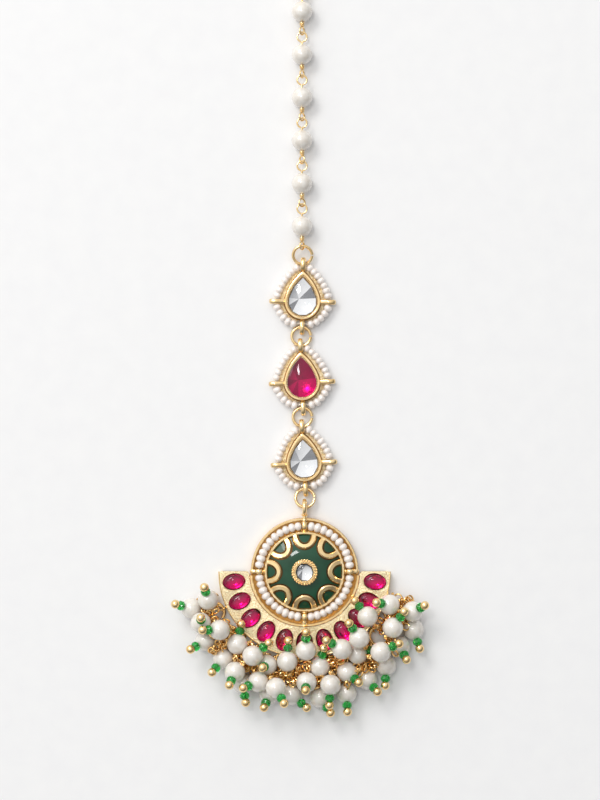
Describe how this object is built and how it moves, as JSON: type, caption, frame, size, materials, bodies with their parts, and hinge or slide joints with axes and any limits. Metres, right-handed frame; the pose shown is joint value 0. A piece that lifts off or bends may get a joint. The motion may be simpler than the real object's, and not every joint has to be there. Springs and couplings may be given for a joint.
{
  "type": "maang tikka",
  "caption": "Forehead jewel lying flat: an enamelled round pendant with a ruby crescent and bunches of pearls, on a chain of teardrop stones and pearls with a hair hook.",
  "frame": {"origin": "middle of the round disc's flat back, which rests on the surface", "axes": "+Y from the disc up the chain to the hook, +Z out of the front of the jewel"},
  "size_m": [0.0507, 0.1565, 0.0104],
  "materials": {
    "gold": "gold plated, satin with polished edges",
    "enamel": "glossy dark green enamel",
    "ruby": "polished red glass stone",
    "clear_stone": "cut clear stone on foil",
    "pearl": "pearl lustre",
    "seed_pearl": "pearl lustre",
    "green_glass": "small cut green glass beads"
  },
  "bodies": {
    "root": {"pendant_frame": "gold", "enamel_dome": "enamel", "centre_stone": "clear_stone", "disc_seed_string": "seed_pearl", "crescent_ruby_1": "ruby", "crescent_ruby_2": "ruby", "crescent_ruby_3": "ruby", "crescent_ruby_4": "ruby", "crescent_ruby_5": "ruby", "crescent_ruby_6": "ruby", "crescent_ruby_7": "ruby", "crescent_ruby_8": "ruby", "crescent_ruby_9": "ruby", "crescent_ruby_10": "ruby", "crescent_ruby_11": "ruby", "pearl_bunch_1": "pearl", "pearl_bunch_2": "pearl", "pearl_bunch_3": "pearl", "pearl_bunch_4": "pearl", "pearl_bunch_5": "pearl", "pearl_bunch_6": "pearl", "pearl_bunch_7": "pearl", "pearl_bunch_8": "pearl", "pearl_bunch_9": "pearl", "teardrop_1_setting": "gold", "teardrop_1_stone": "clear_stone", "teardrop_1_seed_string": "seed_pearl", "teardrop_2_setting": "gold", "teardrop_2_stone": "ruby", "teardrop_2_seed_string": "seed_pearl", "teardrop_3_setting": "gold", "teardrop_3_stone": "clear_stone", "teardrop_3_seed_string": "seed_pearl", "jump_ring_1": "gold", "jump_ring_2": "gold", "jump_ring_3": "gold", "jump_ring_4": "gold", "eye_pin_1": "gold", "eye_pin_2": "gold", "eye_pin_3": "gold", "eye_pin_4": "gold", "eye_pin_5": "gold", "eye_pin_6": "gold", "chain_pearl_1": "pearl", "chain_pearl_2": "pearl", "chain_pearl_3": "pearl", "chain_pearl_4": "pearl", "chain_pearl_5": "pearl", "chain_pearl_6": "pearl", "hair_hook": "gold"}
  },
  "joints": []
}
